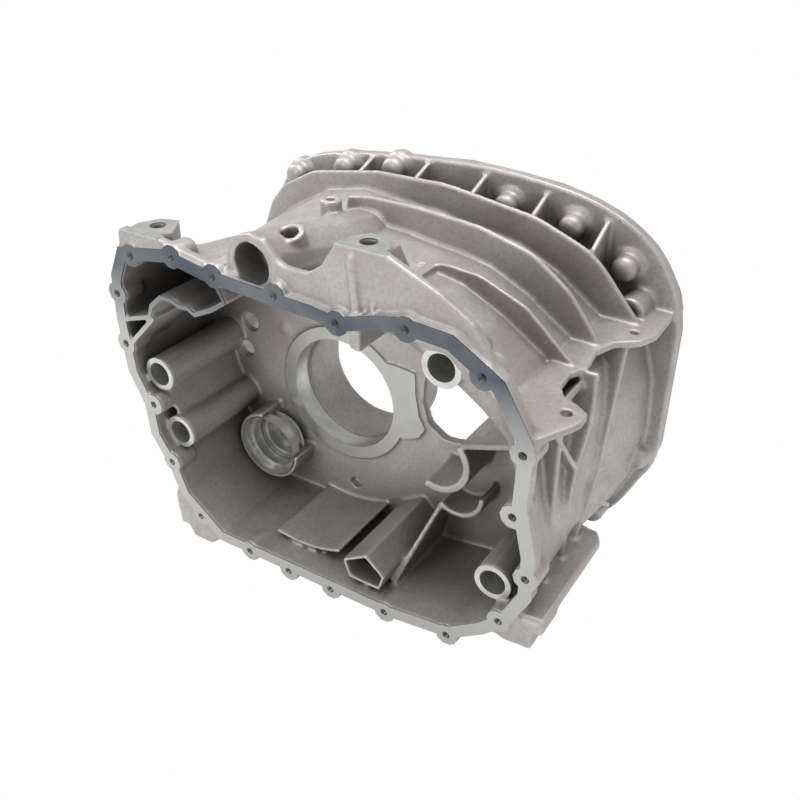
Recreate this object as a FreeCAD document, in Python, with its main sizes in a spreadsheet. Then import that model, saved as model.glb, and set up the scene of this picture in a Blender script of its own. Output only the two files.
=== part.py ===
import FreeCAD, Part
import math
import os
from FreeCAD import Placement, Rotation, Vector

# Gearbox housing: one aluminium casting, gasket flange in front, bell flange for the engine behind.
# Drawing frame: Y = 0 is the gasket face and +Y runs back to the engine, X is to the right and Z up,
# both from the main bore's axis. The finished casting is placed so that the origin is the centre of
# the main bore on its machined face. Everything is in millimetres.

doc = FreeCAD.newDocument("GearboxHousing")
sheet = doc.addObject("Spreadsheet::Sheet", "sizes")

SIZES = {
    # depths from the gasket face, and cast walls
    "bore_face_depth": 130, "partition_depth": 134, "partition_thickness": 11,
    "housing_length": 318, "gasket_flange_thickness": 16, "gasket_band": 14, "wall": 8,
    "bell_flange_thickness": 15, "bell_wall": 7, "rib_thickness": 6, "web_thickness": 5,
    # tapped holes round the gasket face
    "lobe_radius": 13, "lobe_length": 28, "bolt_hole_radius": 4.3, "bolt_hole_depth": 25,
    "bolt_depth_step": 0.5,
    # main bore, its machined ring and the cast tube behind it
    "main_bore_radius": 70, "main_seat_length": 26, "main_ring_radius": 85,
    "main_tube_wall": 10, "main_tube_step": 3, "main_tube_end": 216,
    # shaft tubes
    "shaft_tube_radius": 20.5, "shaft_bore_radius": 14.3,
    "tube_upper_face": 5, "tube_lower_face": 17, "tube_left_face": 10, "tube_bottom_face": 15,
    "tube_upper_end": 66,
    # open bearing saddles right of the main bore
    "saddle_radius": 40, "saddle_bore_radius": 31, "saddle_face": 75,
    "idler_radius": 34, "idler_bore_radius": 27, "idler_face": 95,
    # stepped bearing bore low on the left
    "cradle_radius": 45, "cradle_face": 95, "seat_one_radius": 40, "seat_one_end": 108,
    "seat_two_radius": 33, "seat_two_end": 122, "groove_radius": 36.5, "groove_width": 4,
    "seat_three_radius": 25, "seat_three_end": 147, "end_bore_radius": 15, "end_bore_floor": 158,
    # oil baffle and suction duct
    "baffle_radius": 152, "baffle_thickness": 4, "baffle_face": 29,
    "duct_wall": 3.2, "duct_face": 10, "duct_end": 126,
    # lifting pads, breather and small bosses on top
    "left_pad_height": 206, "right_pad_height": 249, "pad_hole_radius": 8.7, "pad_hole_depth": 26,
    "breather_radius": 15, "breather_hole_radius": 9, "breather_height": 40, "breather_tilt": 20,
    "oval_radius": 12, "oval_hole_radius": 5, "oval_height": 221,
    "dome_radius": 32, "dome_wall": 10, "dome_front": 9, "dome_depth": 48,
    "oil_hole_one_radius": 12, "oil_hole_two_radius": 11.5, "skirt_hole_radius": 7,
    "opening_wall": 8, "opening_wall_length": 70,
    # side ledge
    "ledge_top": 118, "ledge_thickness": 8, "ear_hole_radius": 5.5, "ledge_hole_radius": 4.7,
    # fins over the bell
    "fin_thickness": 6, "front_fin": 138, "middle_fin": 190, "rear_fin": 255,
    # bell flange
    "bell_centre": 42, "bell_width": 570, "bell_height": 476,
    "bell_boss_radius": 14, "bell_boss_length": 14, "bell_hole_radius": 5.1, "bell_hole_depth": 22,
    "starter_radius": 17, "starter_hole_radius": 6.6, "starter_length": 34,
}
ROWS = {}


def value(name, number):
    row = len(ROWS) + 1
    ROWS[name] = number
    sheet.set("A%d" % row, name)
    sheet.set("B%d" % row, str(number))
    sheet.setAlias("B%d" % row, name)


for key, number in SIZES.items():
    value(key, number)

# Axes that run along Y: name, X, Z
AXES = {
    "bolt_a": (-174, 180), "bolt_b": (-114, 192), "bolt_c": (-59, 184), "bolt_d": (19, 183),
    "bolt_u": (91, 173), "bolt_s": (167, 188), "bolt_t": (245, 164), "bolt_r": (288, 99),
    "bolt_q": (283, 29), "bolt_p": (301, -38), "bolt_o": (277, -105), "bolt_n": (219, -156),
    "bolt_m": (141, -165), "bolt_l": (69, -168), "bolt_k": (9, -170), "bolt_j": (-49, -167),
    "bolt_i": (-124, -147), "bolt_h": (-160, -80), "bolt_g": (-176, -5), "bolt_f": (-205, 67),
    "bolt_e": (-205, 129),
    "main": (0, 0), "tube_upper": (202, 158), "tube_lower": (260, -75), "tube_left": (-169, 33),
    "tube_bottom": (-154, -43), "saddle": (159, -1), "idler": (173, -50), "cradle": (-93, -88),
    "oil_hole_one": (-138, 55), "oil_hole_two": (-149, 16), "skirt_hole": (12, -126),
    "pad_one": (-84, 61), "pad_two": (-58, -81), "starter": (279, 121), "dome": (-14, 204),
    "bell_one": (-180, 186), "bell_two": (-105, 207), "bell_three": (-34, 218),
    "bell_four": (116, 201), "bell_five": (196, 193), "bell_six": (261, 160),
    "bell_seven": (306, -70), "bell_eight": (262, -168), "bell_nine": (120, -224),
    "bell_ten": (-40, -224), "bell_eleven": (-180, -165), "bell_twelve": (-226, -10),
}
for key, (x, z) in AXES.items():
    value(key + "_x", x)
    value(key + "_z", z)
doc.recompute()


def get(name):
    return float(sheet.get(name))


def at(name):
    return get(name + "_x"), get(name + "_z")


# ---------------------------------------------------------------- helpers that make one solid each
def rod(name, axis, radius, start, end):
    """A cylinder along Y at a named axis; radius, start and end are expressions on the sheet."""
    piece = doc.addObject("Part::Cylinder", name)
    piece.Placement = Placement(Vector(0, 0, 0), Rotation(Vector(1, 0, 0), -90))
    piece.setExpression("Radius", radius)
    piece.setExpression("Height", "(%s) - (%s)" % (end, start))
    piece.setExpression("Placement.Base.x", "sizes.%s_x" % axis)
    piece.setExpression("Placement.Base.y", start)
    piece.setExpression("Placement.Base.z", "sizes.%s_z" % axis)
    return piece


def s(name):
    return "sizes." + name


def face_of(points, depth=0.0, close=True):
    """A closed outline in the XZ plane; a point (x, z, r) has its corner rounded by radius r."""
    flat = [Vector(p[0], depth, p[1]) for p in points]
    radii = [p[2] if len(p) > 2 else 0 for p in points]
    count = len(flat)
    starts, ends, arcs = [], [], []
    for i in range(count):
        before, here, after = flat[i - 1], flat[i], flat[(i + 1) % count]
        one, two = (before - here).normalize(), (after - here).normalize()
        half = 0.5 * one.getAngle(two)
        reach = radii[i] / math.tan(half) if radii[i] else 0
        reach = min(reach, 0.45 * (before - here).Length, 0.45 * (after - here).Length)
        starts.append(here + one * reach)
        ends.append(here + two * reach)
        radius = reach * math.tan(half)
        middle = here + (one + two).normalize() * (radius / math.sin(half) - radius) if reach else here
        arcs.append(middle)
    edges = []
    for i in range(count):
        if (starts[i] - ends[i]).Length > 1e-6:
            edges.append(Part.Arc(starts[i], arcs[i], ends[i]).toShape())
        edges.append(Part.LineSegment(ends[i], starts[(i + 1) % count]).toShape())
    return Part.Wire(edges)


def prism(name, axis, radius, start, end, sides=8):
    """Round boss as a prism along Y, light enough to be repeated many times."""
    obj = doc.addObject("Part::Prism", name)
    obj.Polygon = sides
    obj.setExpression("Circumradius", radius)
    obj.setExpression("Height", "(" + end + ") - (" + start + ")")
    obj.Placement = Placement(Vector(0, 0, 0), Rotation(Vector(1, 0, 0), -90))
    obj.setExpression("Placement.Base.x", s(axis + "_x"))
    obj.setExpression("Placement.Base.z", s(axis + "_z"))
    obj.setExpression("Placement.Base.y", start)
    return obj


def slab(name, points, start, end):
    """An outline in the XZ plane, pushed from depth start to depth end (expressions)."""
    outline = doc.addObject("Part::Feature", name + "_outline")
    outline.Shape = face_of(points)
    piece = doc.addObject("Part::Extrusion", name)
    piece.Base = outline
    piece.DirMode = "Custom"
    piece.Dir = Vector(0, 1, 0)
    piece.Solid = True
    piece.setExpression("LengthFwd", "(%s) - (%s)" % (end, start))
    piece.setExpression("Placement.Base.y", start)
    return piece


def ring_points(centre, outer, inner, first, last):
    """A ring sector, from angle first clockwise to angle last in degrees, as short chords."""
    steps = max(6, int(abs(first - last) / 15))
    angles = [math.radians(first + (last - first) * k / steps) for k in range(steps + 1)]
    rim = [(centre[0] + outer * math.cos(a), centre[1] + outer * math.sin(a)) for a in angles]
    hollow = [(centre[0] + inner * math.cos(a), centre[1] + inner * math.sin(a)) for a in angles]
    return rim + hollow[::-1]


def ribbon(points, width):
    """A thin wall of one width along a path of points."""
    left, right = [], []
    for i, point in enumerate(points):
        before, after = points[max(i - 1, 0)], points[min(i + 1, len(points) - 1)]
        dx, dz = after[0] - before[0], after[1] - before[1]
        size = math.hypot(dx, dz)
        left.append((point[0] - dz / size * width / 2, point[1] + dx / size * width / 2))
        right.append((point[0] + dz / size * width / 2, point[1] - dx / size * width / 2))
    return left + right[::-1]


def inset(points, distance):
    """The same outline with every corner moved inwards (outlines here run clockwise)."""
    moved = []
    for i, point in enumerate(points):
        before, after = points[i - 1], points[(i + 1) % len(points)]
        one = Vector(point[0] - before[0], point[1] - before[1], 0).normalize()
        two = Vector(after[0] - point[0], after[1] - point[1], 0).normalize()
        normal = Vector(one.y + two.y, -one.x - two.x, 0)
        normal.multiply(distance / (1 + one.dot(two)))
        moved.append((point[0] + normal.x, point[1] + normal.y) + tuple(point[2:]))
    return moved


def loft(name, stations):
    """A solid with flat facets through matching outlines at given depths, front to back."""
    rows = [[Vector(p[0], depth, p[1]) for p in points] for points, depth in stations]
    count = len(rows[0])
    faces = [Part.Face(Part.makePolygon(row + row[:1])) for row in (rows[0], rows[-1])]
    for near, far in zip(rows, rows[1:]):
        for i in range(count):
            j = (i + 1) % count
            for corner in ((near[i], near[j], far[j]), (near[i], far[j], far[i])):
                faces.append(Part.Face(Part.makePolygon(corner + corner[:1])))
    piece = doc.addObject("Part::Feature", name)
    piece.Shape = Part.makeSolid(Part.makeShell(faces))
    return piece


def rib(name, first, second, profile, thickness):
    """A flat rib standing on the line first-second of the XZ plane; profile is (share, depth)."""
    run = Vector(second[0] - first[0], 0, second[1] - first[1])
    across = Vector(run.z, 0, -run.x).normalize() * thickness
    corners = [Vector(first[0], 0, first[1]) + run * share + Vector(0, depth, 0) - across * 0.5
               for share, depth in profile]
    piece = doc.addObject("Part::Feature", name)
    piece.Shape = Part.Face(Part.makePolygon(corners + corners[:1])).extrude(across)
    return piece


def plan_slab(name, points, bottom, top):
    """An outline in plan (x, y), standing from height bottom to height top."""
    corners = [Vector(x, y, bottom) for x, y in points]
    piece = doc.addObject("Part::Feature", name)
    piece.Shape = Part.Face(Part.makePolygon(corners + corners[:1])).extrude(
        Vector(0, 0, top - bottom))
    return piece


def join(name, pieces):
    piece = doc.addObject("Part::MultiFuse", name)
    piece.Shapes = pieces
    return piece


def cut(name, base, tool):
    piece = doc.addObject("Part::Cut", name)
    piece.Base, piece.Tool = base, tool
    return piece


# ------------------------------------------------------------------------- outlines of the casting
# Corners run clockwise from the top left: x, z, corner radius. The three stations match.
FLANGE = [(-192, 186, 14), (-120, 199, 30), (-68, 190, 20), (10, 186, 20), (60, 184, 20),
          (92, 180, 20), (135, 193, 30), (165, 199, 20), (215, 196, 25), (266, 166, 25),
          (298, 112, 25), (296, 45, 25), (309, -12, 20), (309, -62, 20), (288, -106, 25),
          (262, -131, 25), (224, -158, 20), (150, -168, 20), (-95, -171, 25), (-152, -126, 20),
          (-166, -86, 20), (-188, -50, 15), (-191, -8, 20), (-209, 30, 15), (-213, 95, 20),
          (-210, 150, 20)]
MIDDLE = [(-192, 126), (-140, 158), (-98, 184), (-50, 194), (55, 188), (92, 183), (120, 180),
          (150, 174), (195, 152), (240, 122), (272, 92), (282, 42), (291, -18), (297, -66),
          (284, -102), (260, -126), (222, -150), (150, -160), (-95, -163), (-144, -122),
          (-158, -84), (-180, -46), (-184, -6), (-204, 32), (-208, 76), (-205, 106)]
REAR = [(-190, 132), (-152, 168), (-104, 194), (-45, 206), (55, 196), (92, 188), (125, 184),
        (158, 178), (205, 157), (258, 118), (290, 84), (306, 30), (310, -30), (304, -90),
        (284, -140), (255, -170), (210, -200), (140, -218), (-70, -222), (-150, -190),
        (-200, -130), (-222, -70), (-228, -20), (-228, 32), (-220, 70), (-208, 102)]
# behind the flange the roof drops at once on the right, and the left shoulder carries the pad
SHOULDER_Y = 24
SHARES = [0.1, 0.1, 0.2, 0.2, 0.3, 0.7, 0.9, 0.9, 0.9, 0.9, 0.8, 0.5, 0.3] + [0.2] * 13


def between(first, second, shares):
    return [(p[0] + (q[0] - p[0]) * share, p[1] + (q[1] - p[1]) * share)
            for p, q, share in zip(first, second, shares)]


wall, band = get("wall"), get("gasket_band")
partition, plate = get("partition_depth"), get("partition_thickness")
length = get("housing_length")
bell_front = length - get("bell_flange_thickness")

solids, hollows, inner, bores = [], [], [], []

# outer skin and the two flanges
solids.append(loft("body", [(inset(FLANGE, 4), 0),
                            (between(inset(FLANGE, 4), MIDDLE, SHARES), SHOULDER_Y),
                            (MIDDLE, partition), (REAR, bell_front + 2)]))
solids.append(slab("gasket_flange", [corner[:2] for corner in FLANGE], "0",
                   s("gasket_flange_thickness")))
half_w, half_h, middle_x = get("bell_width") / 2, get("bell_height") / 2, get("bell_centre")
# the bell flange is a wide oval; its corners are shares of its half width and half height
BELL_SHAPE = [(-0.80, 0.83), (-0.51, 0.94), (0.06, 1.0), (0.46, 0.97), (0.70, 0.895),
              (0.87, 0.76), (0.975, 0.57), (1.0, 0.40), (1.0, -0.25), (0.94, -0.46),
              (0.82, -0.72), (0.60, -0.90), (0.06, -1.0), (-0.51, -0.94), (-0.80, -0.80),
              (-0.95, -0.52), (-1.0, -0.20), (-1.0, 0.20), (-0.95, 0.56)]
BELL = [(middle_x + half_w * x, half_h * z, 60) for x, z in BELL_SHAPE]
solids.append(slab("bell_flange", BELL, s("housing_length") + " - " + s("bell_flange_thickness"),
                   s("housing_length")))

# fins over the bell; the part of a fin that lies inside the wall is cut away with the hollows
FRONT_FIN = [(96, 150), (96, 186), (129, 190, 20), (167, 187, 30), (219, 166, 30), (265, 125, 20),
             (277, 117), (262, 100), (200, 130)]
MIDDLE_FIN = [(-32, 190), (-29, 216), (0, 221, 30), (62, 221, 60), (136, 215, 80), (198, 199, 60),
              (242, 167, 60), (266, 136, 20), (279, 117), (260, 90), (100, 160)]
REAR_FIN = [(-216, 80), (-209, 124), (-194, 160), (-174, 184, 30), (-127, 210, 60), (-32, 226, 90),
            (59, 227, 120), (170, 211, 120), (240, 184, 90), (298, 117), (270, 80), (180, 150),
            (0, 180), (-150, 150)]
for name, outline, depth in (("front_fin", FRONT_FIN, "front_fin"),
                             ("middle_fin", MIDDLE_FIN, "middle_fin"),
                             ("rear_fin", REAR_FIN, "rear_fin")):
    solids.append(slab(name + "_plate", outline, s(depth), s(depth) + " + " + s("fin_thickness")))

# gussets between the rear fin and the bell flange
rear_fin = get("rear_fin")
for number, (x, low, high) in enumerate([(-70, 200, 228), (8, 206, 233), (84, 203, 232),
                                         (160, 190, 224), (233, 162, 208)]):
    solids.append(rib("gusset_%d" % (number + 1), (x, low - 20), (x, high),
                      [(0, rear_fin), (0, bell_front + 4), (1, bell_front + 4),
                       (0.62, rear_fin + 3), (0.5, rear_fin)], get("rib_thickness")))

# side ledge
LEDGE = [(250, 4), (299, 4), (316, 38), (320, 50), (319, 66), (304, 76), (289, 82), (279, 98),
         (277, 123), (286, 143), (281, 180), (290, 206), (311, 222), (320, 244), (319, 306),
         (250, 306)]
ledge_top = get("ledge_top")
solids.append(plan_slab("ledge", LEDGE, ledge_top - get("ledge_thickness"), ledge_top))

# side wall: rail, struts and the ribs of the recesses
solids.append(plan_slab("rail", [(262, 6), (323, 6), (323, 146), (314, 160), (262, 166)], -96,
                        -86))
STRUTS = [[(40, 108), (54, 90), (112, 20), (103, -11), (102, -98)],
          [(222, 116), (182, -23), (162, -51), (129, -98)],
          [(60, 108), (60, -98)], [(140, 116), (138, 60), (112, 20)], [(182, -23), (262, -60)],
          [(162, -51), (240, -110)]]
for number, path in enumerate(STRUTS):
    outline = ribbon([(y, z) for y, z in path], get("rib_thickness"))
    corners = [Vector(262, y, z) for y, z in outline]
    strut = doc.addObject("Part::Feature", "strut_%d" % (number + 1))
    strut.Shape = Part.Face(Part.makePolygon(corners + corners[:1])).extrude(Vector(38, 0, 0))
    solids.append(strut)

# feet under the gasket flange
LEFT_FOOT = [(-158, -112), (-166, -134), (-162, -174), (-150, -173), (-143, -187), (-114, -187),
             (-90, -165)]
RIGHT_FOOT = [(276, -92), (323, -92), (323, -103), (313, -104), (312, -127), (282, -129),
              (256, -120)]
solids.append(slab("left_foot", LEFT_FOOT, "2", "38"))
solids.append(slab("right_foot", RIGHT_FOOT, "2", "40"))

# left lifting pad with its web, right lifting pad with the tall front web
LEFT_PAD = [(-180, 6), (-144, 6), (-134, 25), (-152, 55), (-173, 48), (-184, 26)]
RIGHT_PAD = [(90, 9), (134, 9), (136, 24), (124, 45), (102, 45), (90, 30)]
solids.append(plan_slab("left_pad", LEFT_PAD, 165, get("left_pad_height")))
solids.append(plan_slab("right_pad", RIGHT_PAD, 175, get("right_pad_height")))
solids.append(slab("left_web", [(-199, 140), (-191, 206, 4), (-134, 206, 4), (-64, 194), (-50, 180),
                                (-120, 184), (-180, 160)], "3", "14"))
FRONT_WEB = [(-14, 184), (-14, 234), (3, 234, 6), (22, 212, 14), (52, 210, 16), (70, 222, 12),
             (88, 249), (142, 249), (196, 226, 20), (230, 206, 14), (250, 178), (200, 180),
             (150, 172), (92, 172), (20, 176)]
solids.append(slab("front_web", FRONT_WEB, "8", "17"))
solids.append(rib("web_bulge", (112, 186), (104, 246), [(0, 6), (0.1, 3), (0.9, 5), (1, 12),
                                                        (0, 12)], 9))
solids.append(rib("web_rib", (128, 184), (129, 212), [(0, 2), (1, 9), (0, 9)], 4))

# saddle surface that falls from the right pad back into the fins
solids.append(rib("pad_back", (112, 180), (112, 246), [(0, 20), (1, 20), (1, 44), (0.35, 70),
                                                       (0, 110)], 46))

# breather boss, oval boss and the hollow dome on top
breather = doc.addObject("Part::Cylinder", "breather")
breather.Placement = Placement(Vector(3, 63, 190), Rotation(Vector(1, 0, 0), 20))
breather.setExpression("Radius", s("breather_radius"))
breather.setExpression("Height", s("breather_height"))
solids.append(breather)
oval = doc.addObject("Part::Cylinder", "oval_boss")
oval.Placement = Placement(Vector(-31, 163, 180), Rotation())
oval.setExpression("Radius", s("oval_radius"))
oval.setExpression("Height", s("oval_height") + " - 180")
solids.append(oval)
dome_r, (dome_x, dome_z) = get("dome_radius"), at("dome")
ARCH = [(dome_x + dome_r * math.cos(math.radians(a)), dome_z + dome_r * math.sin(math.radians(a)))
        for a in (180, 150, 120, 90, 60, 30, 0)]
ARCH = [(ARCH[0][0], dome_z - 24)] + ARCH + [(ARCH[-1][0], dome_z - 24)]
HUMP = [(-56, 168), (-50, 184), (-38, 193), (-26, 200), (-8, 205), (12, 203), (28, 190), (36, 182),
        (44, 170)]
solids.append(loft("dome", [(ARCH, get("dome_front")), (HUMP, get("middle_fin") + 1)]))

# domed bosses on the front of the bell flange, the starter boss and the column under the ledge
BELL_BOSSES = [name for name in AXES if name.startswith("bell_")]
flange_front = s("housing_length") + " - " + s("bell_flange_thickness")
for name in BELL_BOSSES:
    solids.append(prism(name + "_boss", name, s("bell_boss_radius"),
                        flange_front + " - " + s("bell_boss_length"), flange_front + " + 2"))
solids.append(rod("starter_boss", "starter", s("starter_radius"),
                  flange_front + " - " + s("starter_length"), flange_front + " + 2"))

outer = join("outer_casting", solids)

# ------------------------------------------------------------------------------- the two big hollows
front_inner = inset(FLANGE, band)
middle_inner = inset(MIDDLE, wall)
hollows.append(loft("gear_space", [(front_inner, -1),
                                   (between(front_inner, middle_inner, SHARES), SHOULDER_Y - 6),
                                   (middle_inner, partition)]))
hollows.append(loft("bell_space", [(inset(MIDDLE, get("bell_wall")), partition + plate),
                                   (inset(REAR, get("bell_wall")), length + 1)]))
SECOND_OPENING = [(120, 76, 10), (109, 50, 8), (107, 22, 8), (115, -4, 8), (136, -17, 8),
                  (186, -10, 10), (214, 16, 14), (220, 60, 18), (222, 104, 14), (192, 130, 16),
                  (144, 108, 20)]
hollows.append(slab("second_opening", SECOND_OPENING, s("partition_depth") + " - 2",
                    s("partition_depth") + " + " + s("partition_thickness") + " + 2"))
shell = cut("shell", outer, join("hollows", hollows))

# -------------------------------------------------------------------------------- inside the casting
BOLTS = [name for name in AXES if name.startswith("bolt_")]
for name in BOLTS:
    inner.append(prism(name + "_lobe", name, s("lobe_radius"), "0", s("lobe_length"), 10))

back = s("partition_depth") + " + 2"
TUBES = ["tube_upper", "tube_lower", "tube_left", "tube_bottom"]
for name in TUBES:
    end = s("tube_upper_end") if name == "tube_upper" else back
    inner.append(rod(name + "_wall", name, s("shaft_tube_radius"), s(name + "_face"), end))
inner.append(slab("tube_rib", ribbon([(-170, 14), (-166, -8), (-158, -24)], 5), "20", back))

# main bore: ring, its lug beside the second opening, and the cast tube behind the partition
inner.append(rod("main_ring", "main", s("main_ring_radius"), s("bore_face_depth"), back))
LUG = [(30, 50), (34, 59), (72, 60, 4), (98, 58, 4), (99, 32, 10), (104, 4, 10), (112, -10, 4),
       (103, -24, 6), (82, -33), (60, -20)]
inner.append(slab("ring_lug", LUG, s("bore_face_depth"), back))
tube_radius = s("main_bore_radius") + " + " + s("main_tube_wall")
inner.append(rod("main_tube", "main", tube_radius, s("partition_depth") + " + 4",
                 s("main_tube_end")))
inner.append(cut("opening_wall",
                 slab("opening_outer", inset(SECOND_OPENING, -get("opening_wall")),
                      s("partition_depth") + " + 3",
                      s("partition_depth") + " + " + s("opening_wall_length")),
                 slab("opening_inner", SECOND_OPENING, s("partition_depth"),
                      s("partition_depth") + " + " + s("opening_wall_length") + " + 2")))

# open saddles for the two shafts right of the main bore, and the web to the flange
saddle, idler, cradle = at("saddle"), at("idler"), at("cradle")
inner.append(slab("saddle_wall", ring_points(saddle, get("saddle_radius"),
                                             get("saddle_bore_radius"), 46, -112),
                  s("saddle_face"), back))
inner.append(slab("idler_wall", ring_points(idler, get("idler_radius"), get("idler_bore_radius"),
                                            4, -132), s("idler_face"), back))
rib_t = get("rib_thickness")
inner.append(rib("saddle_web", (188, 27), (286, 104), [(0, 75), (1, 3), (1, partition + 2),
                                                        (0, partition + 2)], rib_t + 1))
inner.append(rib("sump_web", (131, -158), (152, -80), [(0, 28), (0.4, 50), (1, 95),
                                                        (1, partition + 2), (0, partition + 2)],
                 rib_t))
inner.append(rib("roof_rib", (110, 149), (112, 188), [(0, 2), (1, 2), (1, partition + 2),
                                                       (0, partition + 2)], 12))

# upper left oil chamber: its wavy wall reaches the gasket face
CHAMBER = [(-202, 98), (-160, 112), (-154, 127), (-138, 141), (-122, 141), (-112, 137),
           (-100, 138), (-91, 133), (-66, 145), (-47, 158), (-52, 168), (-58, 182)]
inner.append(slab("chamber_wall", ribbon(CHAMBER, get("web_thickness")), "0", back))
inner.append(slab("chamber_brace", ribbon([(-200, 66), (-154, 112)], get("web_thickness")), "0",
                  "60"))

# stepped bearing bore: a half collar in front of the partition and a closed pot behind it
inner.append(slab("cradle_collar", ring_points(cradle, get("cradle_radius"), get("seat_one_radius")
                                               - 16, 358, 98), s("cradle_face"), back))
inner.append(rod("cradle_pot", "cradle", s("seat_one_radius"), s("partition_depth") + " + 2",
                 s("end_bore_floor") + " + 7"))

# oil baffle round the gear, with its two small ribs, and the suction duct
baffle = get("baffle_radius")
inner.append(slab("baffle", ring_points((0, 0), baffle, baffle - get("baffle_thickness"), -66,
                                        -102), s("baffle_face"), back))
inner.append(rib("baffle_rib_one", (-10, -166), (-10, -149), [(0, 40), (1, 31), (1, 136),
                                                              (0, 136)], 4))
inner.append(rib("baffle_rib_two", (36, -166), (36, -146), [(0, 40), (1, 31), (1, 136),
                                                            (0, 136)], 4))
DUCT = [(80, -125, 2), (111, -106, 3), (135, -127, 3), (128, -148, 2), (88, -148, 2)]
inner.append(slab("duct_body", DUCT, s("duct_face"), back))
inner.append(rib("duct_foot", (108, -164), (108, -146), [(0, 24), (1, 12), (1, 136), (0, 136)], 5))

# flat round pads on the partition
for name in ("pad_one", "pad_two"):
    inner.append(rod(name + "_disc", name, "7", s("partition_depth") + " - 1.5", back))

full = join("full_casting", [shell] + inner)

# ------------------------------------------------------------------------------------ machined holes
# holes next to each other end at slightly different depths, so no three floors share one plane
for number, name in enumerate(BOLTS):
    bores.append(rod(name + "_hole", name, s("bolt_hole_radius"), "-1",
                     "%s + %d * %s" % (s("bolt_hole_depth"), number % 5, s("bolt_depth_step"))))
for name in TUBES:
    end = s("partition_depth") + " + " + s("partition_thickness") + " + 4"
    if name == "tube_upper":
        end = s("tube_upper_end") + " - 10"
    bores.append(rod(name + "_bore", name, s("shaft_bore_radius"), s(name + "_face") + " - 1", end))
seat_end = s("bore_face_depth") + " + " + s("main_seat_length")
bores.append(rod("main_bore", "main", s("main_bore_radius"), s("bore_face_depth") + " - 2",
                 seat_end))
bores.append(rod("main_cast_bore", "main", s("main_bore_radius") + " - " + s("main_tube_step"),
                 seat_end + " - 1", s("main_tube_end") + " + 2"))
bores.append(rod("seat_one", "cradle", s("seat_one_radius"), s("cradle_face") + " - 1",
                 s("seat_one_end")))
bores.append(rod("seat_two", "cradle", s("seat_two_radius"), s("seat_one_end") + " - 1",
                 s("seat_two_end")))
bores.append(rod("seat_groove", "cradle", s("groove_radius"), s("seat_two_end"),
                 s("seat_two_end") + " + " + s("groove_width")))
bores.append(rod("seat_three", "cradle", s("seat_three_radius"), s("seat_two_end") + " + 1",
                 s("seat_three_end")))
bores.append(rod("end_bore", "cradle", s("end_bore_radius"), s("seat_three_end") + " - 1",
                 s("end_bore_floor")))
for name in ("oil_hole_one", "oil_hole_two", "skirt_hole"):
    bores.append(rod(name + "_cut", name, s(name + "_radius"), s("partition_depth") + " - 3",
                     s("partition_depth") + " + " + s("partition_thickness") + " + 3"))
bores.append(slab("duct_hollow", inset(DUCT, get("duct_wall")), s("duct_face") + " - 1",
                  s("duct_end")))
bores.append(rod("dome_hollow", "dome", s("dome_radius") + " - " + s("dome_wall"),
                 s("dome_front") + " - 2", s("dome_depth")))

hole = doc.addObject("Part::Cylinder", "breather_hole")
hole.Placement = breather.Placement.multiply(Placement(Vector(0, 0, 16), Rotation()))
hole.setExpression("Radius", s("breather_hole_radius"))
hole.setExpression("Height", s("breather_height"))
bores.append(hole)
for name, x, y, top, radius, depth in (
        ("left_pad_hole", -161, 32, "left_pad_height", "pad_hole_radius", "pad_hole_depth"),
        ("right_pad_hole", 112, 27, "right_pad_height", "pad_hole_radius", "pad_hole_depth"),
        ("oval_hole", -31, 163, "oval_height", "oval_hole_radius", "ledge_thickness"),
        ("ear_hole", 302, 57, "ledge_top", "ear_hole_radius", "ledge_thickness"),
        ("ledge_hole", 298, 238, "ledge_top", "ledge_hole_radius", "ledge_thickness")):
    drill = doc.addObject("Part::Cylinder", name)
    drill.Placement = Placement(Vector(x, y, 0), Rotation())
    drill.setExpression("Radius", s(radius))
    drill.setExpression("Height", s(depth) + " + 2")
    drill.setExpression("Placement.Base.z", s(top) + " - " + s(depth) + " - 1")
    bores.append(drill)
for name in BELL_BOSSES:
    bores.append(rod(name + "_hole", name, s("bell_hole_radius"),
                     s("housing_length") + " - " + s("bell_hole_depth"),
                     s("housing_length") + " + 1"))
bores.append(rod("starter_hole", "starter", s("starter_hole_radius"),
                 flange_front + " - " + s("starter_length") + " - 1",
                 s("housing_length") + " + 1"))

housing = cut("gearbox_housing", full, join("machining", bores))
housing.setExpression("Placement.Base.y", "-" + s("bore_face_depth"))
doc.recompute()

# --------------------------------------------------------------------------------- checks and export
for item in doc.Objects:
    if "Invalid" in item.State or "Error" in item.State:
        raise RuntimeError("feature failed: " + item.Name)
    if hasattr(item, "Shape") and (item.Shape.isNull() or not item.Shape.isValid()):
        raise RuntimeError("bad shape: " + item.Name)
shape = housing.Shape
print("solids", len(shape.Solids), "faces", len(shape.Faces), "litres", round(shape.Volume / 1e6, 3))
for solid in shape.Solids:
    print("  solid", round(solid.Volume), solid.BoundBox)
facets = len(shape.tessellate(0.5)[1])
print("facets", facets, shape.BoundBox)
os.makedirs("parts", exist_ok=True)
shape.exportStep("parts/gearbox_housing.step")
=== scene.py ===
# %% [markdown]
# # Gearbox housing
# One aluminium casting, made for looks on top of its solid model. The solid model gives every
# size; this script gives the cast skin its soft edges, the machined faces their crisp ones, and
# the finish. Positions are in drawing millimetres: X and Z as in the solid model, and a depth
# that starts at the gasket face and grows towards the engine.

# %% Set-up
import math

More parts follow.
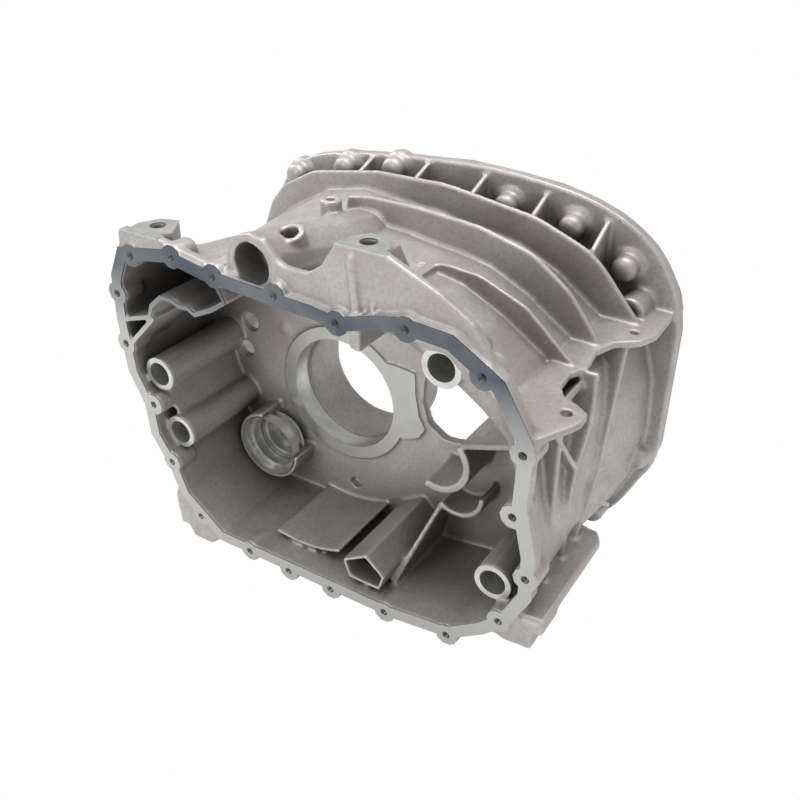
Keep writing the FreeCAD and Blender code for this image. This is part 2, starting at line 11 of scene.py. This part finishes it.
import bpy
import numpy as np
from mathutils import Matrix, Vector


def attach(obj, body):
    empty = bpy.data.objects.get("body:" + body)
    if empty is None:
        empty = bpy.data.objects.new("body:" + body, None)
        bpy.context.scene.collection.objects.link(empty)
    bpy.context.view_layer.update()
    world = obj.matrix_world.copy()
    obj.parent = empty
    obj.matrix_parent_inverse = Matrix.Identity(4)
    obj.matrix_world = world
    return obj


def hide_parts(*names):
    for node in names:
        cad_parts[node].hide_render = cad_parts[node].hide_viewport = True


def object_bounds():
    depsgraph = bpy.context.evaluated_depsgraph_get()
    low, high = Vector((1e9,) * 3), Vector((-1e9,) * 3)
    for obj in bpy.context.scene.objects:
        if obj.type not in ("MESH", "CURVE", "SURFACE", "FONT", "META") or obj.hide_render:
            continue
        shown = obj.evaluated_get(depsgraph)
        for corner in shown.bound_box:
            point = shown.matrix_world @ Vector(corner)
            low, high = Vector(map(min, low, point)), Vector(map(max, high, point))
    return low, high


MM = 0.001
MIDDLE = 130.0            # depth of the main ring, where Y is 0
DEPTH = 318.0             # depth of the engine face
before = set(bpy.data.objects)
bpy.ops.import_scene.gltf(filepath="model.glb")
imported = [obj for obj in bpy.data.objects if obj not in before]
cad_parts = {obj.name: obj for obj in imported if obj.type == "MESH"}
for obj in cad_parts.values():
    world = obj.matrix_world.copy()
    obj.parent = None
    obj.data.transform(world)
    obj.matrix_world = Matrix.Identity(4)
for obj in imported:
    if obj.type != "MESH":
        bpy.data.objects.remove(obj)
cad_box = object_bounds()
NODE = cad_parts["gearbox_housing"]
print("CAD box", [[round(v, 4) for v in corner] for corner in cad_box])

# %% [markdown]
# ## Camera
# The housing is seen from its gasket side, from the right and from above. A long lens from far
# away would flatten it, and a very wide one from close by would bend the flange. A lens a little
# wider than normal at about a metre keeps the perspective strong and the flange straight.

# %% Camera
camera_data = bpy.data.cameras.new("view")
camera_data.sensor_width = 36
camera_data.lens = 41.36
camera_data.clip_end = 20
camera = bpy.data.objects.new("view", camera_data)
camera.location = (0.5490, -0.7350, 0.5595)
camera.rotation_euler = (math.radians(58.2), 0, math.radians(32.6))
bpy.context.collection.objects.link(camera)
bpy.context.scene.camera = camera
print("camera", tuple(round(v, 3) for v in camera.location))

# %% [markdown]
# ## Light
# A white room: a big soft lamp overhead, one from the left and a weaker one in front. Lamps alone
# would leave metal black wherever it mirrors nothing, and a room as white as it looks would wash
# the shading out. So the world is pure white to the camera and a calm grey to the metal.

# %% Light
scene = bpy.context.scene
scene.view_settings.view_transform = "Standard"
world = bpy.data.worlds.new("room")
scene.world = world
world.use_nodes = True
tree = world.node_tree
tree.nodes.clear()


def background(strength):
    """White light from all round, of the given strength."""
    node = tree.nodes.new("ShaderNodeBackground")
    node.inputs["Color"].default_value = (1, 1, 1, 1)
    node.inputs["Strength"].default_value = strength
    return node.outputs[0]


path = tree.nodes.new("ShaderNodeLightPath")
mix = tree.nodes.new("ShaderNodeMixShader")
out = tree.nodes.new("ShaderNodeOutputWorld")
tree.links.new(path.outputs["Is Camera Ray"], mix.inputs["Fac"])
tree.links.new(background(0.5), mix.inputs[1])
tree.links.new(background(1.0), mix.inputs[2])
tree.links.new(mix.outputs[0], out.inputs["Surface"])


def lamp(name, place, size, watts):
    """A round lamp that faces the housing from a place. Its tilt from straight down is
    atan2(distance on the floor, height), and its turn is atan2(y, x) + 90 degrees."""
    data = bpy.data.lights.new(name, "AREA")
    data.shape, data.size, data.energy = "DISK", size, watts
    x, y, z = place
    one = bpy.data.objects.new(name, data)
    one.location = place
    one.rotation_euler = (math.atan2(math.hypot(x, y), z), 0, math.atan2(y, x) + math.pi / 2)
    bpy.context.collection.objects.link(one)


lamp("overhead", (0.1, 0.1, 1.9), 1.6, 24)
lamp("left", (-1.7, 0.2, 1.2), 1.0, 12)
lamp("front", (-0.5, -1.8, 0.9), 0.9, 9)
print("lamps", len(bpy.data.lights))

# %% [markdown]
# ## Materials
# Shot-blasted aluminium is matt and pinkish grey; its edges get a painted highlight and its
# corners painted shade. Where it has been cut it is smoother and brighter, with a painted dark
# reflection along the top of the flange. One even colour would look like plastic, and a picture
# wrapped round the casting would stretch and show its seams. Noise in the housing's own
# coordinates does neither, and it moves with the metal.

# %% Materials
WARM, PALE = (0.47, 0.435, 0.42, 1), (0.58, 0.565, 0.55, 1)          # patches of the casting
# the first colour below is the casting's own dark fleck; the second is a painted highlight for
# convex edges
FLECK, EDGE_HIGHLIGHT = (0.36, 0.34, 0.33, 1), (0.74, 0.70, 0.68, 1)
# the second colour below is a painted dark reflection for the milled face
CLEAN, DARK_REFLECTION = (0.52, 0.52, 0.50, 1), (0.085, 0.10, 0.12, 1)          # milled metal


def shader(name):
    """A new material: itself, its nodes, its links and its main shader."""
    material = bpy.data.materials.new(name)
    material.use_nodes = True
    nodes, links = material.node_tree.nodes, material.node_tree.links
    return material, nodes, links, nodes["Principled BSDF"]


def blend_of(nodes, links, factor, first, second, mode="MIX"):
    """first * (1 - factor) + second * factor, or first * second when the mode is MULTIPLY.
    Each of the three is a number, a colour or the output of another node."""
    mixer = nodes.new("ShaderNodeMixRGB")
    mixer.blend_type = mode
    for socket, given in zip(mixer.inputs, (factor, first, second)):
        if hasattr(given, "links"):
            links.new(given, socket)
        else:
            socket.default_value = given
    return mixer.outputs["Color"]


def noise_of(nodes, links, place, scale, detail=4):
    """Cloudy noise from 0 to 1, with about as many clouds to a metre as the scale says."""
    noise = nodes.new("ShaderNodeTexNoise")
    noise.inputs["Scale"].default_value = scale
    noise.inputs["Detail"].default_value = detail
    links.new(place, noise.inputs["Vector"])
    return noise.outputs["Fac"]


def range_of(nodes, links, source, low, high, start=0.0, end=1.0):
    """start + (end - start) * (source - low) / (high - low), held between start and end."""
    remap = nodes.new("ShaderNodeMapRange")
    for name, number in (("From Min", low), ("From Max", high), ("To Min", start), ("To Max", end)):
        remap.inputs[name].default_value = number
    links.new(source, remap.inputs["Value"])
    return remap.outputs["Result"]


def roughen(nodes, links, main, height, strength, distance):
    """Gives the surface a fine relief, distance metres high."""
    bump = nodes.new("ShaderNodeBump")
    bump.inputs["Strength"].default_value = strength
    bump.inputs["Distance"].default_value = distance
    links.new(height, bump.inputs["Height"])
    links.new(bump.outputs["Normal"], main.inputs["Normal"])


def cast_finish():
    """Shot-blasted casting in pinkish grey patches, with painted highlight on edges and painted
    shade in corners and pockets.
    """
    material, nodes, links, main = shader("cast_aluminium")
    place = nodes.new("ShaderNodeTexCoord").outputs["Object"]
    patch = range_of(nodes, links, noise_of(nodes, links, place, 11, 6), 0.35, 0.65)
    base = blend_of(nodes, links, patch, WARM, PALE)
    fleck = range_of(nodes, links, noise_of(nodes, links, place, 230, 6), 0.45, 0.75, 0.0, 0.6)
    base = blend_of(nodes, links, fleck, base, FLECK)
    # painted highlight: the sharper an edge, the closer its colour goes to the pale highlight
    # colour
    edge = nodes.new("ShaderNodeNewGeometry").outputs["Pointiness"]
    base = blend_of(nodes, links, range_of(nodes, links, edge, 0.51, 0.60), base, EDGE_HIGHLIGHT)
    # painted shade: ambient occlusion darkens the colour in corners and pockets
    corner = nodes.new("ShaderNodeAmbientOcclusion")
    corner.inputs["Distance"].default_value = 0.12
    corner.samples = 8
    shade = range_of(nodes, links, corner.outputs["AO"], 0.05, 0.80, 0.36, 1.0)
    base = blend_of(nodes, links, 1.0, base, shade, "MULTIPLY")
    links.new(base, main.inputs["Base Color"])
    main.inputs["Metallic"].default_value = 0.55
    rough = range_of(nodes, links, noise_of(nodes, links, place, 40), 0.3, 0.7, 0.38, 0.56)
    links.new(rough, main.inputs["Roughness"])
    roughen(nodes, links, main, noise_of(nodes, links, place, 620, 3), 0.35, 0.0006)
    return material


def machined_finish():
    """Milled metal: pale and clean, with a painted dark reflection where it is both high up and
    near the gasket face.
    """
    material, nodes, links, main = shader("machined_aluminium")
    place = nodes.new("ShaderNodeTexCoord").outputs["Object"]
    split = nodes.new("ShaderNodeSeparateXYZ")
    links.new(place, split.inputs[0])
    # painted reflection: the milled face darkens towards its top near the gasket face, in cloudy
    # patches
    height = range_of(nodes, links, split.outputs["Z"], 0.085, 0.165)
    nearness = range_of(nodes, links, split.outputs["Y"], -0.10, -0.12)
    painted_reflection = blend_of(nodes, links, 1.0, height, nearness, "MULTIPLY")
    cloud = range_of(nodes, links, noise_of(nodes, links, place, 14), 0.3, 0.7, 0.75, 1.0)
    painted_reflection = blend_of(nodes, links, 1.0, painted_reflection, cloud, "MULTIPLY")
    links.new(blend_of(nodes, links, painted_reflection, CLEAN, DARK_REFLECTION), main.inputs["Base Color"])
    main.inputs["Metallic"].default_value = 0.8
    rough = range_of(nodes, links, noise_of(nodes, links, place, 55), 0.3, 0.7, 0.26, 0.42)
    links.new(rough, main.inputs["Roughness"])
    roughen(nodes, links, main, noise_of(nodes, links, place, 400, 2), 0.12, 0.0002)
    return material


def bright_finish(name, low, high):
    """Freshly cut metal with uneven brightness between two greys."""
    material, nodes, links, main = shader(name)
    place = nodes.new("ShaderNodeTexCoord").outputs["Object"]
    tone = range_of(nodes, links, noise_of(nodes, links, place, 60), 0.3, 0.7)
    base = blend_of(nodes, links, tone, (low, low, low, 1), (high, high, 0.98 * high, 1))
    links.new(base, main.inputs["Base Color"])
    main.inputs["Metallic"].default_value = 0.8
    main.inputs["Roughness"].default_value = 0.28
    return material


cast = cast_finish()
machined = machined_finish()
bright = bright_finish("turned_aluminium", 0.55, 0.76)
# the tapped walls get darker greys as painted shade inside the holes
tapped = bright_finish("tapped_painted_shade", 0.16, 0.34)
print("materials", cast.name, machined.name, bright.name, tapped.name)

# %% [markdown]
# ## Shapes that join the casting
# Round bosses, smooth flange outlines and domes are poured in one with the walls. Modelling them
# as separate pieces would leave a hard line where they meet, so each is a closed shape of its own
# that overlaps the solid, and the next cell melts them all together.

# %% Shapes that join the casting
ROUND = 32                # corners round a boss


def xyz(x, depth, z):
    """Drawing millimetres to metres in the row frame: (x, depth - MIDDLE, z) * MM."""
    return np.stack(np.broadcast_arrays(x, np.asarray(depth) - MIDDLE, z), -1) * MM


def grid_faces(rows, columns, closed=False):
    """Quads of a grid whose columns close on themselves, and whose rows do as well if closed."""
    r, c = np.meshgrid(np.arange(rows if closed else rows - 1), np.arange(columns), indexing="ij")
    down, side = (r + 1) % rows, (c + 1) % columns
    return np.stack([r * columns + c, r * columns + side, down * columns + side,
                     down * columns + c], -1).reshape(-1, 4).tolist()


def turned(x, z, profile, steps=ROUND, closed=False):
    """A body turned about an axis along the depth: profile holds (depth, radius) from end to end.
    Point = axis + radius * (cos angle, sin angle), for every profile row and every angle.
    With a closed profile the body is a ring."""
    depth, radius = np.array(profile, float).T
    angle = np.linspace(0, 2 * np.pi, steps, endpoint=False)
    points = xyz(x + radius[:, None] * np.cos(angle), depth[:, None],
                 z + radius[:, None] * np.sin(angle)).reshape(-1, 3)
    return points, grid_faces(len(depth), steps, closed)


def capped(points, faces, steps=ROUND):
    """The same body, with a polygon over each end."""
    last = len(points) - steps
    return points, faces + [list(range(steps))[::-1], list(range(last, last + steps))]


def through(corners, per_side=6):
    """A smooth closed curve through the corners: between two of them it follows the cubic whose
    slopes are half the step from the corner before to the corner after."""
    p = np.array(corners, float)
    before, after, beyond = np.roll(p, 1, 0), np.roll(p, -1, 0), np.roll(p, -2, 0)
    t = np.linspace(0, 1, per_side, endpoint=False)[:, None, None]
    curve = 0.5 * (2 * p + (after - before) * t + (2 * before - 5 * p + 4 * after - beyond) * t ** 2
                   + (3 * p - before - 3 * after + beyond) * t ** 3)
    return curve.transpose(1, 0, 2).reshape(-1, 2)


def band(outline, width, first, last):
    """A band that follows an outline in X and Z inside it, from one depth to the other.
    Inner edge = outline + width * inward normal."""
    along = np.roll(outline, -1, 0) - np.roll(outline, 1, 0)
    inward = np.stack([along[:, 1], -along[:, 0]], 1) / np.linalg.norm(along, axis=1)[:, None]
    if ((inward * (outline.mean(0) - outline)).sum(1) > 0).mean() < 0.5:
        inward = -inward
    inner = outline + width * inward
    points = np.concatenate([xyz(edge[:, 0], depth, edge[:, 1]) for edge, depth in
                             ((outline, first), (outline, last), (inner, last), (inner, first))])
    return points, grid_faces(4, len(outline), closed=True)


def merge(shapes):
    """Several lists of points and faces as one."""
    points, faces, count = [], [], 0
    for more, quads in shapes:
        points.append(more)
        faces += [[i + count for i in quad] for quad in quads]
        count += len(more)
    return np.concatenate(points), faces


# X and Z of the tapped holes round the gasket face
BOLTS = [(-174, 180), (-114, 192), (-59, 184), (19, 183), (91, 173), (167, 188), (245, 164),
         (288, 99), (283, 29), (301, -38), (277, -105), (219, -156), (141, -165), (69, -168),
         (9, -170), (-49, -167), (-124, -147), (-160, -80), (-176, -5), (-205, 67), (-205, 129)]
BOLT_BOSS = [(0, 13.2), (27, 13.2), (31, 9), (31, 6.6), (0, 6.6)]
# the outline of the bell, in shares of its half width and half height
BELL = [(-0.80, 0.83), (-0.51, 0.94), (0.06, 0.998), (0.46, 0.97), (0.70, 0.895), (0.87, 0.76),
        (0.97, 0.57), (0.995, 0.40), (0.995, -0.25), (0.94, -0.46), (0.82, -0.72), (0.60, -0.90),
        (0.06, -0.998), (-0.51, -0.94), (-0.80, -0.80), (-0.95, -0.52), (-0.995, -0.20),
        (-0.995, 0.20), (-0.95, 0.56)]
BELL_CENTRE, HALF_WIDTH, HALF_HEIGHT = 42, 285, 238
RIM_WIDTH, RIM_START, RIM_END = 9, 303.2, 317.9
BELL_BOSSES = [(-180, 186), (-105, 207), (-34, 218), (116, 201), (196, 193), (261, 160), (306, -70),
               (262, -168), (120, -224), (-40, -224), (-180, -165), (-226, -10)]
DOME = [(292, 0.5), (292, 7), (318, 7), (318, 14.6), (291, 14.6), (287, 13.6), (284, 11),
        (282.5, 7), (282, 0.5)]
LIP = [(317, 19), (301, 19), (300, 17), (303, 12), (317, 12)]        # low lip round an upper boss
UPPER = 100               # bosses above this height have a lip

parts = [turned(x, z, BOLT_BOSS, closed=True) for x, z in BOLTS]
outline = through([(BELL_CENTRE + HALF_WIDTH * x, HALF_HEIGHT * z) for x, z in BELL])
outline = np.clip(outline, (-242.8, -237.8), (326.8, 237.8))         # just inside the solid's box
parts.append(band(outline, RIM_WIDTH, RIM_START, RIM_END))
for x, z in BELL_BOSSES:
    parts.append(capped(*turned(x, z, DOME)))
    if z > UPPER:
        parts.append(turned(x, z, LIP, closed=True))
print("shapes", len(parts))

# %% [markdown]
# ## Cast skin
# Sand leaves every edge of a casting soft. Rounding each edge of the solid by hand is slow, a
# bevel fails where thin ribs meet, and a voxel remesh followed by a few smoothing passes rounds
# all of them alike. Where a cutter has been, the skin then steps back a little to make room for
# crisp surfaces.

# %% Cast skin
VOXEL = 2.1 * MM
LIMIT = 190_000           # triangles
FIRST_SHARE = 0.38        # of the remeshed faces, kept in the first try
STEP = 0.5                # the skin lies this far behind a milled plane
CLEAR = 0.6               # and this far outside a turned wall
LEFT_PAD, RIGHT_PAD = 206.0, 249.0                                   # heights of the top pads
PAD_DEPTH, LEFT_PAD_END = 60, -130   # the pads end before this depth, the left one at this X
RING = 125                # radius of the milled face round the main bore
LOWEST = -238.0
BORES = [  # x, z, radius, first and last depth of every turned wall
    (0, 0, 70, 130, 156), (-169, 33, 14.3, 10, 145), (-154, -43, 14.3, 15, 145),
    (260, -75, 14.3, 17, 145), (202, 158, 14.3, 5, 56), (-93, -88, 40, 95, 108),
    (-93, -88, 33, 108, 122), (-93, -88, 25, 126, 147), (-93, -88, 15, 147, 158)]
THREAD, THREAD_ROOM = 4.3, 24        # radius of a tapped hole, and the depth kept free for it


def corners_of(mesh):
    """The corner points of a mesh, one to a row."""
    flat = np.empty(len(mesh.vertices) * 3)
    mesh.vertices.foreach_get("co", flat)
    return flat.reshape(-1, 3)


def settle(one):
    """Makes the modifiers of an object part of its mesh."""
    graph = bpy.context.evaluated_depsgraph_get()
    final = bpy.data.meshes.new_from_object(one.evaluated_get(graph))
    one.modifiers.clear()
    one.data = final


def skin_of(node, parts):
    """The node's own faces and all the shapes that join it in one mesh, remeshed in voxels,
    smoothed and thinned to the limit of triangles."""
    own = [tuple(p.vertices) for p in node.data.polygons]
    points, faces = merge([(corners_of(node.data), own)] + parts)
    mesh = bpy.data.meshes.new("cast_skin")
    mesh.from_pydata(points.tolist(), [], faces)
    one = bpy.data.objects.new("cast_skin", mesh)
    bpy.context.collection.objects.link(one)
    remesh = one.modifiers.new("voxels", "REMESH")
    remesh.mode, remesh.voxel_size = "VOXEL", VOXEL
    soft = one.modifiers.new("soft", "SMOOTH")
    soft.factor, soft.iterations = 0.5, 4
    fewer = one.modifiers.new("fewer", "DECIMATE")
    fewer.ratio = FIRST_SHARE
    for _ in range(4):
        done = one.evaluated_get(bpy.context.evaluated_depsgraph_get()).to_mesh()
        count = sum(len(p.vertices) - 2 for p in done.polygons)
        if count < LIMIT:
            break
        fewer.ratio *= 0.97 * LIMIT / count
        bpy.context.view_layer.update()
    settle(one)
    return one


def step_back(mesh):
    """Moves the skin behind every milled plane, and outside every turned wall and tapped hole:
    a point nearer than radius + CLEAR to an axis goes straight out to that distance."""
    x, y, z = (corners_of(mesh) / MM).T
    depth = np.clip(y + MIDDLE, STEP, DEPTH - STEP)
    on_top = depth < PAD_DEPTH
    z = np.where(on_top & (x < LEFT_PAD_END), np.minimum(z, LEFT_PAD - STEP), z)
    z = np.where(on_top, np.minimum(z, RIGHT_PAD - STEP), z)
    ring = (np.hypot(x, z) < RING) & (np.abs(depth - MIDDLE) < CLEAR)
    depth = np.where(ring, MIDDLE + STEP, depth)
    for bx, bz, radius, first, last in BORES + [(*bolt, THREAD, 0, THREAD_ROOM) for bolt in BOLTS]:
        away = np.hypot(x - bx, z - bz)
        near = (away < radius + CLEAR) & (away > 0.3 * radius)
        near &= (depth > first - 3) & (depth < last)
        push = np.where(near, (radius + CLEAR) / np.maximum(away, 0.1), 1)
        x, z = bx + (x - bx) * push, bz + (z - bz) * push
    mesh.vertices.foreach_set("co", xyz(x, depth, np.maximum(z, LOWEST)).ravel())
    mesh.update()


skin = skin_of(NODE, parts)
step_back(skin.data)
skin.data.materials.clear()
skin.data.materials.append(cast)
skin.data.shade_smooth()
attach(skin, "root")
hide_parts("gearbox_housing")
print("skin", len(skin.data.polygons), "faces")

# %% [markdown]
# ## Machined faces
# Milling leaves flat bright faces with sharp edges in the soft casting. Drawn again by hand they
# could stray from the holes in them, so they are taken from the exact solid: every face that lies
# on a machined plane is copied in place and given a thickness inwards, which hides the step
# behind it.

# %% Machined faces
NEAR = 1.2                # a face this close to a machined plane belongs to it
STRAIGHT = 0.99           # least part of a normal along its axis
PAD_REACH = 50            # depth at which the top pads end
mesh = NODE.data
normals, centres = np.empty(len(mesh.polygons) * 3), np.empty(len(mesh.polygons) * 3)
mesh.polygons.foreach_get("normal", normals)
mesh.polygons.foreach_get("center", centres)
_, facing, upward = normals.reshape(-1, 3).T
x, y, z = centres.reshape(-1, 3).T / MM
depth = y + MIDDLE

gasket_face = (facing < -STRAIGHT) & (abs(depth) < NEAR)
main_ring = (facing < -STRAIGHT) & (abs(depth - MIDDLE) < NEAR) & (np.hypot(x, z) < RING)
engine_face = (facing > STRAIGHT) & (depth > DEPTH - STEP)
left_pad = (abs(z - LEFT_PAD) < NEAR) & (x < LEFT_PAD_END)
right_pad = abs(z - RIGHT_PAD) < NEAR
pads = (upward > STRAIGHT) & (depth < PAD_REACH) & (left_pad | right_pad)


def copy_faces(name, chosen, material, thickness):
    """The chosen faces of the solid as one sheet with a thickness behind it."""
    picks = [tuple(mesh.polygons[int(i)].vertices) for i in np.flatnonzero(chosen)]
    used = sorted({v for face in picks for v in face})
    place = {v: i for i, v in enumerate(used)}
    made = bpy.data.meshes.new(name)
    made.from_pydata(corners_of(mesh)[used].tolist(), [],
                     [tuple(place[v] for v in face) for face in picks])
    one = bpy.data.objects.new(name, made)
    bpy.context.collection.objects.link(one)
    one.data.materials.append(material)
    weld = one.modifiers.new("weld", "WELD")
    weld.merge_threshold = 0.01 * MM
    thick = one.modifiers.new("thick", "SOLIDIFY")
    thick.thickness, thick.offset = thickness * MM, -1
    settle(one)
    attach(one, "root")
    print(name, len(one.data.polygons), "faces")


copy_faces("milled_face", gasket_face | main_ring, machined, 1.4)
copy_faces("engine_face", engine_face, machined, 1.4)
copy_faces("pad_faces", pads, bright, 1.2)

# %% [markdown]
# ## Turned walls and threads
# A boring bar leaves a wall that catches the light, and a tap leaves turns. Cutting them out of
# the skin would need far finer voxels, and a relief in the finish alone would leave the edge of
# each hole ragged. So each wall is a surface of angle and depth, and a thread is one more term in
# its radius.

# %% Turned walls and threads
RINGS = [  # x, z, inner and outer radius, depth: tube ends and the shoulders of the stepped bore
    (-169, 33, 14.3, 20.2, 9.8), (-154, -43, 14.3, 20.2, 14.8), (260, -75, 14.3, 20.2, 16.8),
    (202, 158, 14.3, 20.4, 4.8), (-93, -88, 33, 40, 108), (-93, -88, 25, 33, 126),
    (-93, -88, 15, 25, 147)]
THREAD_DEPTH, PITCH, HEIGHT = 14, 1.5, 0.75


def add(name, points, faces, material, smooth=True):
    """A piece of the housing made of points and faces."""
    made = bpy.data.meshes.new(name)
    made.from_pydata(points.tolist(), [], faces)
    one = bpy.data.objects.new(name, made)
    bpy.context.collection.objects.link(one)
    made.materials.append(material)
    if smooth:
        made.shade_smooth()
    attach(one, "root")
    print(name, len(faces), "faces")


def thread(x, z, radius, depth, pitch, height, steps=24, per_turn=8):
    """A tapped wall, whose first turn rises from nothing. With t = depth / pitch:
    radius - height / 2 * (1 + cos(2 pi (t + angle share))) * min(1, t)."""
    rows = int(depth / pitch * per_turn) + 1
    share = np.linspace(0, 1, steps, endpoint=False)
    down = np.linspace(0, depth, rows)[:, None]
    wave = 1 + np.cos(2 * np.pi * (down / pitch + share))
    r = radius - 0.5 * height * wave * np.minimum(1, down / pitch)
    points = xyz(x + r * np.cos(2 * np.pi * share), down, z + r * np.sin(2 * np.pi * share))
    return points.reshape(-1, 3), grid_faces(rows, steps)


add("turned_walls", *merge([turned(x, z, [(first, radius), (last, radius)],
                                   96 if radius > 30 else 48)
                            for x, z, radius, first, last in BORES]), bright)
add("turned_rings", *merge([turned(x, z, [(depth, outer), (depth, inner)], 64)
                            for x, z, inner, outer, depth in RINGS]), bright, smooth=False)
add("threads", *merge([thread(x, z, THREAD, THREAD_DEPTH, PITCH, HEIGHT)
                       for x, z in BOLTS]), tapped)

# %% [markdown]
# ## Floor
# The housing stands on a white floor that has no edge against the white room. A plain floor would
# turn grey at a distance, and no floor at all would leave the underside of the metal dark. This
# one is white to the camera at every point, and still throws its light up into the casting.

# %% Floor
HALF_FLOOR = 6            # metres
GAP = 0.001               # metres between the floor and the lowest point of the housing
floor_mesh = bpy.data.meshes.new("floor")
floor_mesh.from_pydata([(-HALF_FLOOR, -HALF_FLOOR, 0), (HALF_FLOOR, -HALF_FLOOR, 0),
                        (HALF_FLOOR, HALF_FLOOR, 0), (-HALF_FLOOR, HALF_FLOOR, 0)],
                       [], [(0, 1, 2, 3)])
floor = bpy.data.objects.new("floor", floor_mesh)
floor.location = (0, 0, cad_box[0][2] - GAP)
bpy.context.collection.objects.link(floor)
material, nodes, links, main = shader("floor")
main.inputs["Base Color"].default_value = (0.9, 0.9, 0.9, 1)
main.inputs["Roughness"].default_value = 0.9
glow = nodes.new("ShaderNodeEmission")
glow.inputs["Strength"].default_value = 1.0
ray = nodes.new("ShaderNodeLightPath")
blend = nodes.new("ShaderNodeMixShader")
links.new(ray.outputs["Is Camera Ray"], blend.inputs["Fac"])
links.new(main.outputs[0], blend.inputs[1])
links.new(glow.outputs[0], blend.inputs[2])
links.new(blend.outputs[0], nodes["Material Output"].inputs["Surface"])
floor.data.materials.append(material)
print("floor at", round(floor.location[2], 4))
